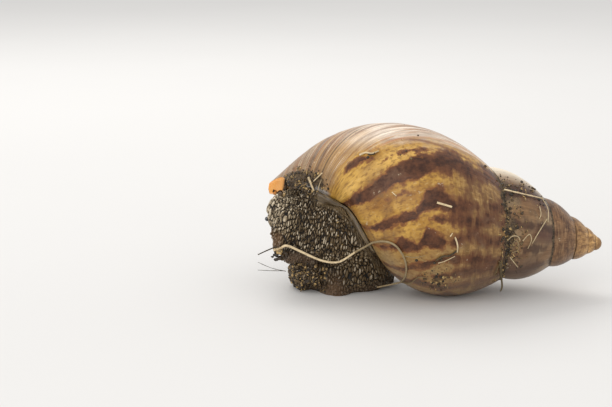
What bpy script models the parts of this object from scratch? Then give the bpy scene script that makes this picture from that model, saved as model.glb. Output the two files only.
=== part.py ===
"""Giant African land snail, half drawn into its shell and resting on its foot.

The long axis of the shell lies along X with the apex at +X. The head faces -X,
+Z is up and the ground is z = 0. Lengths are in metres.
"""

import math

import bmesh
import bpy
from mathutils import Matrix, Vector

MM = 0.001

# Place of the shell: its apex, and how the axis slopes down and turns away.
APEX = Vector((55.2, -2.9, 16.0)) * MM
AXIS_PITCH = math.radians(9.1)
AXIS_YAW = math.radians(0.9)
LIP_ANGLE = math.radians(174.3)

# Growth of the shell, for its last whorl (turn 0 is the outer lip).
SUTURE_H = 47.8 * MM
SUTURE_GROWTH = 1.892
SUTURE_SWAY = (0.041, 0.024)
SPIRE_SLOPE = 0.716
SPIRE_BEND = 76.4 * MM
BASE_H = 111.4 * MM
BASE_GROWTH = 1.79
BASE_R = 3.2 * MM
BELLY = (-39.0 * MM, 14.0 * MM)
BASE_ROUND = 0.43
FIRST_TURN = -5.5
TIP_H = 0.6 * MM

# How finely the shell is faceted.
ROWS_PER_TURN = 28
SPIRE_COLUMNS = 5
BASE_COLUMNS = 7

WALL = 1.2 * MM
GAP = 0.4 * MM
SMALL = 0.004
BLOCK = 200 * MM

# The room that the shell takes from the soft parts, which shrinks near the apex.
CALM_REACH = 25 * MM
KEEP_OUT_SHARPEST = 1.5
MANTLE_SHARPEST = 1.1

# The hollow behind the mouth of the shell: its length in turns, how far it stays
# from the seam above and the base below, and the pillar it turns round.
HOLLOW_TURNS = (-0.15, 0.06)
HOLLOW_ROWS = 6
HOLLOW_COLUMNS = 10
HOLLOW_START = 3.6 * MM
HOLLOW_STOP = 1.7 * MM
LEAST_HOLLOW = 0.9 * MM
BACK_R = 30 * MM
COLUMELLA_R = 2.6 * MM
COLUMELLA_END = 86.0 * MM
COLUMELLA_TAPER = 9.0 * MM
SPUR_R = 0.3 * MM

# The masses that make up the soft body: centre, half sizes and tilt about Y,
# in millimetres and degrees.
FLESH = (
    ((-31, 5, 20), (19.4, 18.4, 15), 0),       # trunk
    ((-28, 9, 31), (24, 13, 8), -8),           # stalk up into the shell
    ((-44.5, 2, 24.6), (10.2, 11.5, 7.4), 0),  # crown of the head
    ((-44, 1, 18), (9.4, 10, 7), 0),           # snout
    ((-37, 4, 5), (10.8, 13.4, 7.4), 0),       # front of the foot
    ((-24.5, 6, 7), (12.9, 14.4, 9.4), 0),     # middle of the foot
    ((-31.5, -4, 2.5), (5, 6, 4.6), 0),        # near corner of the foot
    ((-19, 10, 2.5), (7.4, 8.4, 5.4), 0),      # tail
)
FLESH_VOXEL = 0.9 * MM
FLESH_ROUNDS = 20
FLESH_FACES = 0.10
BLOB_STEPS = 4

# The mantle fills the mouth of the shell and rolls over its near edge.
MANTLE_TURNS = (-0.13, -0.02)
MANTLE_END = 99 * MM
ROLL_TURNS = (-0.17, -0.63)
ROLL_R = 1.25 * MM
ROLL_LEAVES_EDGE = -0.45
ROLL_SPREAD = 2.6
ROLL_TILT_TURNS = 0.08
ROLL_SUNK = 0.8
ROLL_RINGS = 16
ROLL_SIDES = 8
BRIDGE_H = 92.5 * MM
BRIDGE_R = 2.5 * MM
BRIDGE = Vector((10 * MM, BRIDGE_R, BRIDGE_R))
MANTLE_VOXEL = 0.6 * MM
MANTLE_ROUNDS = 5
MANTLE_FACES = 0.04
MANTLE_ROWS = 3
PORE = (63 * MM, 22 * MM, 1.6 * MM)

# Cuts that part the body: a point of the plane in millimetres and the way it faces.
CUT_FOOT = ((-45, 0, 11.8), (-0.12, 0, -1))
CUT_HEAD = ((-38.5, 0, 20), (-1, -0.1, 0.25))
CUT_FOOT_FRONT = ((-33.6, 0, 5), (-1, -0.05, -0.1))
CUT_TAIL = ((-18.5, 0, 5), (1, 0.1, 0))

# Feelers: root, tip, and radii at root and tip, in millimetres.
UPPER_FEELERS = {
    "right": ((-50.5, 6.0, 22.9), (-54.5, 6.9, 22.4), 1.8, 1.3),
    "left": ((-46.8, -4.4, 24.6), (-49.4, -7.2, 26.0), 1.7, 1.2),
}
LOWER_FEELERS = {
    "right": ((-49.0, 7.0, 17.2), (-52.2, 8.8, 17.0), 1.3, 0.8),
    "left": ((-49.5, -3.2, 19.6), (-53.4, -4.4, 19.8), 1.3, 0.8),
}
FEELER_RINGS = 6
FEELER_SIDES = 10
FEELER_CAP = 0.3
FEELER_BLUNT = 0.08
EYE_R = 0.8
EYE_OUT = 0.4
EYE_SEGMENTS = 10
PORE_SEGMENTS = 12

# The lips and the slit between them: centre and half sizes, then sizes, in millimetres.
LIPS = ((-50.6, 1.2, 14.6), (2.3, 3.4, 2.1))
LIPS_SEGMENTS = 16
SLIT = (1.6, 3.6, 0.5)

SMOOTH_ANGLE = math.radians(40)

# Middle of the whole snail along X and Y, which ends up over the origin.
BOX_CENTRE = Vector((-0.5, -0.15, 0)) * MM


def axis_frame():
    """Unit vectors of the shell: to the apex, upward and to the near side."""
    axis = Vector((math.cos(AXIS_PITCH) * math.cos(AXIS_YAW),
                   math.cos(AXIS_PITCH) * math.sin(AXIS_YAW),
                   -math.sin(AXIS_PITCH)))
    up = (Vector((0, 0, 1)) - axis * axis.z).normalized()
    return axis, up, axis.cross(up)


AXIS, UP, NEAR = axis_frame()


def suture(turn):
    """Distance from the apex and radius of the seam where a whorl begins."""
    sway = 1 + SUTURE_SWAY[0] * math.cos(2 * math.pi * turn) + SUTURE_SWAY[1] * math.sin(2 * math.pi * turn)
    h = SUTURE_H * SUTURE_GROWTH ** turn * sway
    return h, SPIRE_SLOPE * h / (1 + h / SPIRE_BEND)


def base(turn):
    """Distance from the apex and radius of the lower end of a whorl."""
    scale = BASE_GROWTH ** turn
    return BASE_H * scale, BASE_R * scale


def whorl_radius(turn, along):
    """Outer radius of a whorl; along runs from 0 at its seam to 1 at its base."""
    h, r = suture(turn)
    end_h, end_r = base(turn)
    next_h, next_r = suture(turn + 1)
    scale = BASE_GROWTH ** turn

    def swell(x, linear):
        body = r + linear * x + BELLY[0] * scale * x ** 2 + BELLY[1] * scale * x ** 3
        return max(1 - x, 0) ** BASE_ROUND * body + end_r * x

    at = (next_h - h) / (end_h - h)
    linear = (next_r - swell(at, 0)) / ((1 - at) ** BASE_ROUND * at)
    return swell(along, linear)


def place(turn, h, r):
    """World point at a distance from the apex, a radius and an angle in turns."""
    angle = LIP_ANGLE + 2 * math.pi * turn
    return APEX - AXIS * h + (NEAR * math.cos(angle) + UP * math.sin(angle)) * r


def whorl_point(turn, along):
    h = suture(turn)[0]
    return place(turn, h + (base(turn)[0] - h) * along, whorl_radius(turn, along))


def clear_scene():
    for obj in list(bpy.data.objects):
        bpy.data.objects.remove(obj, do_unlink=True)


def material(name, colour, roughness):
    made = bpy.data.materials.new(name)
    made.use_nodes = True
    shader = made.node_tree.nodes["Principled BSDF"]
    shader.inputs["Base Color"].default_value = (*colour, 1)
    shader.inputs["Roughness"].default_value = roughness
    return made


def add_object(name, mesh, finish=None):
    """Put a mesh in the scene; without a finish it is a hidden cutter."""
    obj = bpy.data.objects.new(name, mesh)
    bpy.context.scene.collection.objects.link(obj)
    if finish:
        mesh.materials.clear()
        mesh.materials.append(finish)
    else:
        obj.hide_render = True
        obj.display_type = "WIRE"
    return obj


def bake(obj):
    """Replace an object's mesh by what its modifiers make of it."""
    bpy.context.view_layer.update()
    graph = bpy.context.evaluated_depsgraph_get()
    mesh = bpy.data.meshes.new_from_object(obj.evaluated_get(graph))
    obj.modifiers.clear()
    obj.data = mesh
    return obj


def cut(obj, other, solver="EXACT"):
    """Take one body out of another; both are closed."""
    step = obj.modifiers.new("cut", "BOOLEAN")
    step.operation = "DIFFERENCE"
    step.solver = solver
    step.object = other
    return bake(obj)


def mesh_of(name, points, faces):
    """Closed mesh with its faces out."""
    grid = bmesh.new()
    corners = [grid.verts.new(point) for point in points]
    for face in faces:
        grid.faces.new([corners[index] for index in face])
    bmesh.ops.recalc_face_normals(grid, faces=grid.faces)
    quads = [face for face in grid.faces if len(face.verts) == 4]
    bmesh.ops.triangulate(grid, faces=quads, quad_method="FIXED")
    mesh = bpy.data.meshes.new(name)
    grid.to_mesh(mesh)
    grid.free()
    return mesh


def cut_soft(obj, other):
    """Take a body out of one whose crowded faces the exact solver leaves open."""
    return cut(obj, other, "MANIFOLD")


def swollen(name, mesh, swell, sharpest, calm=None):
    """A copy of a mesh with its faces moved outward, less so toward a calm point."""
    grid = bmesh.new()
    grid.from_mesh(mesh)
    grid.normal_update()
    moves = [corner.normal * min(corner.calc_shell_factor(), sharpest) for corner in grid.verts]
    for corner, move in zip(grid.verts, moves):
        share = min((corner.co - calm).length / CALM_REACH, 1) if calm else 1
        corner.co += move * swell * share
    copy = bpy.data.meshes.new(name)
    grid.to_mesh(copy)
    grid.free()
    return copy


def shell_block(name):
    """The whole outside of the shell, closed across its mouth."""
    first = round(FIRST_TURN * ROWS_PER_TURN)
    points = []
    index = {}

    def put(key, point):
        index[key] = len(points)
        points.append(point)

    def corner(row, column):
        """A seam belongs to the whorl below it, one turn on."""
        if column == SPIRE_COLUMNS and row + ROWS_PER_TURN <= 0:
            return index[row + ROWS_PER_TURN, 0]
        return index[row, column]

    for row in range(first, 1):
        turn = row / ROWS_PER_TURN
        h, end_h = suture(turn)[0], base(turn)[0]
        seam = (suture(turn + 1)[0] - h) / (end_h - h)
        for column in range(SPIRE_COLUMNS + 1):
            put((row, column), whorl_point(turn, seam * column / SPIRE_COLUMNS))
        if turn >= -1:
            for column in range(1, BASE_COLUMNS + 1):
                share = 1 - (1 - column / BASE_COLUMNS) ** 2
                put((row, SPIRE_COLUMNS + column), whorl_point(turn, seam + (1 - seam) * share))
            put((row, "axis"), place(turn, end_h, 0))
    put("apex", APEX - AXIS * TIP_H)

    faces = []
    last = SPIRE_COLUMNS + BASE_COLUMNS
    for row in range(first, 0):
        columns = last if row >= -ROWS_PER_TURN else SPIRE_COLUMNS
        for column in range(columns):
            faces.append((corner(row, column), corner(row, column + 1),
                          corner(row + 1, column + 1), corner(row + 1, column)))
        if row >= -ROWS_PER_TURN:
            faces.append((corner(row, last), index[row, "axis"],
                          index[row + 1, "axis"], corner(row + 1, last)))
        if row < first + ROWS_PER_TURN:
            faces.append((corner(row, 0), corner(row + 1, 0), index["apex"]))
    for column in range(SPIRE_COLUMNS):
        faces.append((corner(first, column), corner(first, column + 1), index["apex"]))
    mouth = [corner(0, column) for column in range(last + 1)]
    mouth += [index[row, "axis"] for row in range(0, -ROWS_PER_TURN - 1, -1)]
    mouth += [corner(-ROWS_PER_TURN, column) for column in range(last, SPIRE_COLUMNS, -1)]
    faces.append(mouth)
    used = sorted({corner_index for face in faces for corner_index in face})
    renumber = {old: new for new, old in enumerate(used)}
    faces = [[renumber[old] for old in face] for face in faces]
    return mesh_of(name, [points[old] for old in used], faces)


def whorl_radius_at(turn, h):
    """Outer radius of a whorl at a distance from the apex, 0 beyond its base."""
    start, end = suture(turn)[0], base(turn)[0]
    return whorl_radius(turn, (h - start) / (end - start)) if start <= h <= end else 0


def mouth_hollow(name, turns, rows, inset=0.0, far_end=1.0):
    """A length of the hollow inside the last whorl, as a closed mesh; inset shrinks it all round."""
    rings = []
    for row in range(rows + 1):
        turn = turns[0] + (turns[1] - turns[0]) * row / rows
        if row == 0:
            turn += inset / BACK_R
        start = suture(turn)[0] + HOLLOW_START
        end = min(base(turn)[0] - HOLLOW_STOP, far_end)
        outer, inner = [], []
        for column in range(HOLLOW_COLUMNS + 1):
            h = start + (end - start) * math.sin(math.pi / 2 * column / HOLLOW_COLUMNS)
            roof = min(whorl_radius_at(turn, h - WALL), whorl_radius_at(turn, h + WALL)) - WALL
            core = SPUR_R + COLUMELLA_R * min(max((COLUMELLA_END - h) / COLUMELLA_TAPER, 0), 1)
            before = whorl_radius_at(turn - 1, h)
            core = max(core, before + WALL if before else 0)
            if column in (0, HOLLOW_COLUMNS):
                h += inset if column == 0 else -inset
            outer.append(place(turn, h, max(roof, core + LEAST_HOLLOW) - inset))
            inner.append(place(turn, h, core + inset))
        rings.append(outer + inner[::-1])
    return mesh_of(name, *loft(rings))


def loft(rings):
    """Points and faces of a closed skin over rings of equal length."""
    size = len(rings[0])
    points = [point for ring in rings for point in ring]
    faces = [list(range(size)), list(range(len(points) - size, len(points)))]
    for ring in range(len(rings) - 1):
        for step in range(size):
            after = (step + 1) % size
            low, high = ring * size, (ring + 1) * size
            faces.append((low + step, low + after, high + after, high + step))
    return points, faces


def box_cutter(name, matrix):
    """A hidden unit cube, placed and sized by a matrix."""
    grid = bmesh.new()
    bmesh.ops.create_cube(grid, size=1, matrix=matrix)
    mesh = bpy.data.meshes.new(name)
    grid.to_mesh(mesh)
    grid.free()
    return add_object(name, mesh)


def half_space(name, point, facing, beyond):
    """A large block that covers all behind a plane, and a little beyond it."""
    facing = Vector(facing).normalized()
    turn = facing.to_track_quat("Z", "Y").to_matrix().to_4x4()
    centre = Vector(point) * MM + facing * (beyond - BLOCK / 2)
    return box_cutter(name, Matrix.Translation(centre) @ turn @ Matrix.Scale(BLOCK, 4))


def blob(grid, centre, radii, tilt=0.0):
    """Add an ellipsoid to a mesh; tilt is in degrees about Y."""
    at = Matrix.Translation(Vector(centre) * MM) @ Matrix.Rotation(math.radians(tilt), 4, "Y")
    scale = Matrix.Diagonal((*(Vector(radii) * MM), 1))
    bmesh.ops.create_icosphere(grid, subdivisions=BLOB_STEPS, radius=1, matrix=at @ scale)


def fused(name, mesh, voxel, rounds, faces):
    """Melt the overlapping pieces of a mesh into one smooth body."""
    body = add_object(name, mesh)
    remesh = body.modifiers.new("fuse", "REMESH")
    remesh.mode = "VOXEL"
    remesh.voxel_size = voxel
    smooth = body.modifiers.new("soften", "SMOOTH")
    smooth.factor = 0.5
    smooth.iterations = rounds
    thin = body.modifiers.new("thin", "DECIMATE")
    thin.ratio = faces
    return bake(body)


def keep_largest(obj):
    """Drop the crumbs that a cut leaves beside the main body."""
    grid = bmesh.new()
    grid.from_mesh(obj.data)
    left = set(grid.verts)
    bodies = []
    while left:
        front = [left.pop()]
        body = set(front)
        while front:
            corner = front.pop()
            for edge in corner.link_edges:
                other = edge.other_vert(corner)
                if other in left:
                    left.remove(other)
                    body.add(other)
                    front.append(other)
        bodies.append(body)
    largest = max(bodies, key=len)
    spare = [corner for corner in grid.verts if corner not in largest]
    bmesh.ops.delete(grid, geom=spare, context="VERTS")
    grid.to_mesh(obj.data)
    grid.free()
    return obj


def part_at(obj, name, plane):
    """Cut a body in two at a plane; the part the plane faces gets the new name."""
    point, facing = plane
    other = add_object(name, obj.data.copy())
    cut_soft(other, half_space("behind_" + name, point, facing, GAP / 2))
    cut_soft(obj, half_space("before_" + name, point, -Vector(facing), GAP / 2))
    keep_largest(obj)
    return keep_largest(other)


def feeler_mesh(name, root, tip, root_r, tip_r, swell=0.0):
    """A short stump with a round end; swell makes the socket that it sits in."""
    root, tip = Vector(root) * MM, Vector(tip) * MM
    along = (tip - root).normalized()
    side = along.orthogonal().normalized()
    root_r, tip_r = root_r * MM + swell, tip_r * MM + swell
    length = (tip - root).length + swell
    rings = []
    for step in range(FEELER_RINGS + 1):
        share = step / FEELER_RINGS
        radius = root_r + (tip_r - root_r) * share
        cap = max(share - 1 + FEELER_CAP, 0) / FEELER_CAP
        radius *= math.sqrt(max(1 - cap ** 2, FEELER_BLUNT))
        centre = root - along * swell + along * (length + swell) * share
        rings.append([centre + Matrix.Rotation(2 * math.pi * n / FEELER_SIDES, 3, along) @ side * radius
                      for n in range(FEELER_SIDES)])
    return mesh_of(name, *loft(rings))


def ball_mesh(name, centre, radii, segments):
    """An ellipsoid; centre and half sizes are in millimetres."""
    grid = bmesh.new()
    at = Matrix.Translation(Vector(centre) * MM) @ Matrix.Diagonal((*(Vector(radii) * MM), 1))
    bmesh.ops.create_uvsphere(grid, u_segments=segments, v_segments=segments // 2 + 2, radius=1, matrix=at)
    mesh = bpy.data.meshes.new(name)
    grid.to_mesh(mesh)
    grid.free()
    return mesh


def make_shell(finish, ground):
    shell = add_object("shell", shell_block("shell"), finish)
    hollow = mouth_hollow("mouth_hollow", HOLLOW_TURNS, HOLLOW_ROWS)
    cut(shell, add_object("mouth_hollow", hollow))
    cut(shell, ground)
    return shell


def make_keep_out():
    """The shell with a gap all round it, to cut the soft parts by."""
    block = swollen("keep_out", shell_block("block"), GAP, KEEP_OUT_SHARPEST, APEX)
    keep_out = add_object("keep_out", block)
    hollow = mouth_hollow("keep_out_hollow", HOLLOW_TURNS, HOLLOW_ROWS, GAP)
    return cut_soft(keep_out, add_object("keep_out_hollow", hollow))


def outward_of(turn, along):
    """The way the shell's outer surface faces."""
    point = whorl_point(turn, along)
    round_it = whorl_point(turn + SMALL, along) - point
    down_it = point - whorl_point(turn, along - SMALL)
    facing = down_it.cross(round_it).normalized()
    return facing if facing.dot(point - place(turn, (APEX - point).dot(AXIS), 0)) > 0 else -facing


def roll_mesh(name):
    """The mantle's rolled rim: it follows the near edge of the shell and leaves it low down."""
    rings = []
    for step in range(ROLL_RINGS + 1):
        share = step / ROLL_RINGS
        turn = ROLL_TURNS[0] + (ROLL_TURNS[1] - ROLL_TURNS[0]) * share
        past = max(ROLL_LEAVES_EDGE - turn, 0)
        along = 1 - ROLL_SPREAD * past ** 2
        point = whorl_point(turn, along)
        end_h, end_r = base(turn)
        below = (place(turn - SMALL, end_h, end_r) - place(turn, end_h, end_r)).normalized()
        above = outward_of(turn, min(along, 1 - SMALL))
        side = below.lerp(above, min(past / ROLL_TILT_TURNS, 1)).normalized()
        across = side.cross(whorl_point(turn - SMALL, along) - point).normalized()
        radius = ROLL_R * math.sqrt(max(1 - (2 * share - 1) ** 4, FEELER_BLUNT))
        centre = point + side * radius * ROLL_SUNK
        angles = [2 * math.pi * n / ROLL_SIDES for n in range(ROLL_SIDES)]
        rings.append([centre + (side * math.cos(angle) + across * math.sin(angle)) * radius
                      for angle in angles])
    return mesh_of(name, *loft(rings))


def make_mantle():
    """The mantle that fills the mouth of the shell, with the rolled rim and its pore."""
    plug = mouth_hollow("mantle_plug", MANTLE_TURNS, MANTLE_ROWS, -WALL / 2, MANTLE_END)
    grid = bmesh.new()
    grid.from_mesh(plug)
    grid.from_mesh(roll_mesh("roll"))
    blob(grid, (APEX - AXIS * BRIDGE_H - UP * BRIDGE_R / 4) / MM, BRIDGE / MM, math.degrees(AXIS_PITCH))
    pieces = bpy.data.meshes.new("mantle")
    grid.to_mesh(pieces)
    grid.free()
    return fused("mantle_collar", pieces, MANTLE_VOXEL, MANTLE_ROUNDS, MANTLE_FACES)


def open_pore(mantle):
    """The breathing pore, a dimple in the mantle beside the outer lip."""
    h, r, pore_r = PORE
    centre = place(MANTLE_TURNS[1], h, r) / MM
    cut_soft(mantle, add_object("pore", ball_mesh("pore", centre, (pore_r / MM,) * 3, PORE_SEGMENTS)))


def make_flesh():
    grid = bmesh.new()
    for centre, radii, tilt in FLESH:
        blob(grid, centre, radii, tilt)
    mesh = bpy.data.meshes.new("flesh")
    grid.to_mesh(mesh)
    grid.free()
    return fused("neck", mesh, FLESH_VOXEL, FLESH_ROUNDS, FLESH_FACES)


def add_eye(side, flesh, feeler, shape, finish):
    """An eye cupped in the tip of its feeler."""
    root, tip = Vector(shape[0]), Vector(shape[1])
    centre = tip + (tip - root).normalized() * EYE_OUT
    add_object("eye_" + side, ball_mesh("eye", centre, (EYE_R,) * 3, EYE_SEGMENTS), finish)
    cutter = ball_mesh("eye_cup", centre, (EYE_R + GAP / MM,) * 3, EYE_SEGMENTS)
    cup = add_object("eye_cup_" + side, cutter)
    cut_soft(feeler, cup)
    cut_soft(flesh, cup)


def add_feelers(flesh, skin, eye):
    """Socket each feeler in the head, and put the eyes on the upper ones."""
    for height, feelers in (("upper", UPPER_FEELERS), ("lower", LOWER_FEELERS)):
        for side, shape in feelers.items():
            name = f"{height}_tentacle_{side}"
            feeler = add_object(name, feeler_mesh(name, *shape), skin)
            cut_soft(flesh, add_object("socket_" + name, feeler_mesh("socket", *shape, GAP)))
            if height == "upper":
                add_eye(side, flesh, feeler, shape, eye)


def add_lips(flesh, skin):
    """The two lips round the mouth, parted by a slit."""
    centre, radii = LIPS
    lips = add_object("lips", ball_mesh("lips", centre, radii, LIPS_SEGMENTS), skin)
    cutter = ball_mesh("lips_socket", centre, [radius + GAP / MM for radius in radii], LIPS_SEGMENTS)
    cut_soft(flesh, add_object("lips_socket", cutter))
    front = Vector(centre) * MM - Vector((radii[0] * MM, 0, 0))
    size = Matrix.Diagonal((*(Vector(SLIT) * MM), 1))
    cut(lips, box_cutter("mouth_slit", Matrix.Translation(front) @ size))


def show(obj, finish):
    """Turn a worked-out body into a part of the snail."""
    obj.hide_render = False
    obj.display_type = "TEXTURED"
    obj.data.materials.clear()
    obj.data.materials.append(finish)


def finish_parts():
    """Shade the parts smooth and put the middle of the snail over the origin."""
    for obj in bpy.data.objects:
        if not obj.hide_render:
            obj.data.transform(Matrix.Translation(-BOX_CENTRE))
            obj.data.shade_smooth()
            obj.data.set_sharp_from_angle(angle=SMOOTH_ANGLE)


def main():
    clear_scene()
    skin = material("skin", (0.10, 0.075, 0.055), 0.45)
    ground = half_space("ground_cutter", (0, 0, 0), (0, 0, 1), 0)
    make_shell(material("shell", (0.45, 0.27, 0.12), 0.35), ground)
    keep_out = make_keep_out()

    mantle = make_mantle()
    neck = make_flesh()
    cut_soft(neck, add_object("mantle_gap", swollen("mantle_gap", mantle.data, GAP, MANTLE_SHARPEST)))
    cut_soft(neck, keep_out)
    cut_soft(neck, ground)
    keep_largest(neck)
    cut_soft(mantle, keep_out)
    keep_largest(mantle)
    open_pore(mantle)
    show(mantle, material("mantle", (0.20, 0.19, 0.15), 0.3))

    add_feelers(neck, skin, material("eye", (0.01, 0.012, 0.02), 0.15))
    add_lips(neck, skin)
    foot = part_at(neck, "foot_middle", CUT_FOOT)
    head = part_at(neck, "head", CUT_HEAD)
    front = part_at(foot, "foot_front", CUT_FOOT_FRONT)
    tail = part_at(foot, "tail", CUT_TAIL)
    for obj in (neck, foot, head, front, tail):
        show(obj, skin)
    finish_parts()


main()
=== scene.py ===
"""Looks of a life-size giant African land snail, half drawn into its shell.

The head faces -X, +Z is up and the ground is z = 0. Lengths are in metres,
and a number times MM was given in millimetres.
"""

import math

import bmesh
import bpy
import numpy as np
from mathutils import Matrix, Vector
from mathutils.bvhtree import BVHTree


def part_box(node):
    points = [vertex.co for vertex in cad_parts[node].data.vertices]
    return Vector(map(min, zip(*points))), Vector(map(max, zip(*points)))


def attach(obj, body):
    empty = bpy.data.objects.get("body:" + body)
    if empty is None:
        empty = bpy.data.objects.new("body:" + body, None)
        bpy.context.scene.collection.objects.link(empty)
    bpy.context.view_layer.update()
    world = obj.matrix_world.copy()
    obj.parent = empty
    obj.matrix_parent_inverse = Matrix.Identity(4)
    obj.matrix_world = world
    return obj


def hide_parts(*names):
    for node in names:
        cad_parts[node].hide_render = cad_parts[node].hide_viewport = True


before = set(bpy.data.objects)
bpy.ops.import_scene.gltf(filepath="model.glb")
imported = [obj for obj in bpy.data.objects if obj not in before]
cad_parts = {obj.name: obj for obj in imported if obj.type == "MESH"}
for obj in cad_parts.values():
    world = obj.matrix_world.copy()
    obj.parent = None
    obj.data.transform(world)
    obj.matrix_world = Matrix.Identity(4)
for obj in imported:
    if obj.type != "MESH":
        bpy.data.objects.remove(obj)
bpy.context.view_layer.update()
bpy.context.scene.view_settings.view_transform = "Standard"

# ---------------------------------------------------------------------------
# Camera, table and light. A low, level view of the near side: the animal sits
# on a plain white table in soft daylight that comes from above and behind.

MM = 0.001
CAMERA_AT = Vector((-41.4, -464.08, 127.76)) * MM
CAMERA_DOWN = math.radians(12)

camera_data = bpy.data.cameras.new("camera")
camera_data.lens = 85
camera_data.sensor_width = 36
camera_data.clip_start = 0.01
camera_data.clip_end = 20


def new_object(name, data):
    """An object in the scene."""
    made = bpy.data.objects.new(name, data)
    bpy.context.scene.collection.objects.link(made)
    return made


camera = new_object("camera", camera_data)
camera.location = CAMERA_AT
camera.rotation_euler = (math.pi / 2 - CAMERA_DOWN, 0, 0)
bpy.context.scene.camera = camera


def arithmetic(operation):
    """An operator of Wire in its two forms, with the Wire first and with the Wire last."""
    return (lambda wire, other: wire.math(operation, wire, other),
            lambda wire, other: wire.math(operation, other, wire))


class Wire:
    """A socket of a node tree. Arithmetic on it adds Math nodes, and node() adds any other."""

    def __init__(self, tree, socket=None):
        self.tree = tree
        self.socket = socket

    def node(self, kind, settings=None, sockets=None, out=0):
        """Add a node. Its settings are set first, then the values or links of its sockets."""
        made = self.tree.nodes.new(kind)
        for name, value in (settings or {}).items():
            setattr(made, name, value)
        for key, value in (sockets or {}).items():
            if isinstance(value, Wire):
                self.tree.links.new(value.socket, made.inputs[key])
            else:
                made.inputs[key].default_value = value
        return type(self)(self.tree, made.outputs[out])

    def sibling(self, name):
        """Another output of the same node."""
        return type(self)(self.tree, self.socket.node.outputs[name])

    def math(self, operation, *values):
        return self.node("ShaderNodeMath", {"operation": operation}, dict(enumerate(values)))

    __add__, __radd__ = arithmetic("ADD")
    __sub__, __rsub__ = arithmetic("SUBTRACT")
    __mul__, __rmul__ = arithmetic("MULTIPLY")
    __truediv__, __rtruediv__ = arithmetic("DIVIDE")
    __pow__, __rpow__ = arithmetic("POWER")

    def at_least(self, low):
        return self.math("MAXIMUM", self, low)

    def at_most(self, high):
        return self.math("MINIMUM", self, high)

    def step(self, low, high):
        """0 below low, 1 above high, smooth between them; high may be the lower."""
        return self.node("ShaderNodeMapRange", {"interpolation_type": "SMOOTHSTEP"},
                         {"Value": self, "From Min": low, "From Max": high})

    def bump_at(self, middle, reach):
        """1 at the middle, falling to 0 at the reach on both sides."""
        return self.math("ABSOLUTE", self - middle).step(reach, 0)

    def vector(self, x, y, z):
        return self.node("ShaderNodeCombineXYZ", None, {0: x, 1: y, 2: z})

    def split(self):
        """The three numbers of a vector."""
        x = self.node("ShaderNodeSeparateXYZ", None, {0: self})
        return x, x.sibling("Y"), x.sibling("Z")

    def noise(self, place, scale, detail=2.0, rough=0.5):
        return self.node("ShaderNodeTexNoise", None, {
            "Vector": place, "Scale": scale, "Detail": detail, "Roughness": rough})

    def pattern(self, x, y, z, detail=3.0, rough=0.6):
        """Noise on three measures of its own in place of a position."""
        return self.noise(self.vector(x, y, z), 1.0, detail, rough)

    def mix(self, factor, one, other):
        """Blend two colours."""
        sockets = {0: factor}
        for key, colour in ((6, one), (7, other)):
            sockets[key] = colour if isinstance(colour, Wire) else (*colour, 1)
        return self.node("ShaderNodeMix", {"data_type": "RGBA"}, sockets, out=2)

    def shade(self, low, high, one, other):
        """One colour where this number is below low, the other above high."""
        return self.mix(self.step(low, high), one, other)

    def coats(self, *layers):
        """This colour with others laid over it in turn, each an amount and then a paint."""
        painted = self
        for amount, paint in zip(layers[::2], layers[1::2]):
            painted = self.mix(amount, painted, paint)
        return painted

    def attribute(self, name):
        return self.node("ShaderNodeAttribute", {"attribute_name": name}, out="Fac")

    def object_place(self):
        return self.node("ShaderNodeTexCoord", out="Object")

    def relief(self, strength, distance, height):
        return self.node("ShaderNodeBump", None,
                         {"Strength": strength, "Distance": distance, "Height": height})


def new_finish(name):
    """A material, and the Wire that its nodes start from."""
    finish = bpy.data.materials.new(name)
    finish.use_nodes = True
    return finish, Wire(finish.node_tree)


def set_surface(finish, colour, roughness, normal=None, **others):
    """Feed the surface of a material: each value is a Wire or is the same all over it."""
    tree = finish.node_tree
    surface = tree.nodes["Principled BSDF"]
    given = {"Base_Color": colour, "Roughness": roughness, "Normal": normal, **others}
    for name, value in given.items():
        socket = surface.inputs[name.replace("_", " ")]
        if isinstance(value, Wire):
            tree.links.new(value.socket, socket)
        elif value is not None:
            socket.default_value = value


TABLE_HALF = 3.0
corners = [(x * TABLE_HALF, y * TABLE_HALF, 0) for x, y in ((-1, -1), (1, -1), (1, 1), (-1, 1))]
table_top = bpy.data.meshes.new("table_top")
table_top.from_pydata(corners, [], [(0, 1, 2, 3)])
table = new_object("table_top", table_top)
table_finish, wire = new_finish("white_table")
cloudy = wire.noise(wire.object_place(), 6.0)
set_surface(table_finish, wire.mix(cloudy, (0.70, 0.695, 0.69), (0.72, 0.716, 0.71)), 0.7,
            Specular_IOR_Level=0.0)
table_top.materials.append(table_finish)

sky = bpy.data.worlds.new("white_room")
sky.use_nodes = True
backdrop = sky.node_tree.nodes["Background"]
backdrop.inputs["Color"].default_value = (1.0, 0.99, 0.975, 1)
backdrop.inputs["Strength"].default_value = 0.93
bpy.context.scene.world = sky

LIT_POINT = Vector((0, 0, 20)) * MM
DAYLIGHT = (1.0, 0.98, 0.95)


def add_window(name, at, size, power):
    """A soft square light that faces the animal."""
    lamp = bpy.data.lights.new(name, "AREA")
    lamp.size = size
    lamp.energy = power
    lamp.color = DAYLIGHT
    held = new_object(name, lamp)
    held.location = at
    held.rotation_euler = (LIT_POINT - Vector(at)).to_track_quat("-Z", "Y").to_euler()


add_window("window_behind", (-0.25, 0.55, 0.80), 0.6, 3.4)
add_window("window_front", (-0.4, -0.9, 0.5), 0.8, 3.3)

# ---------------------------------------------------------------------------
# The shell: one spiral tube of lime that widens as it turns, right-handed, with
# a thin horny skin outside and an orange glaze in the mouth. It is grown here by
# the rule that a snail follows: each turn is the last one, larger.

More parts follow.
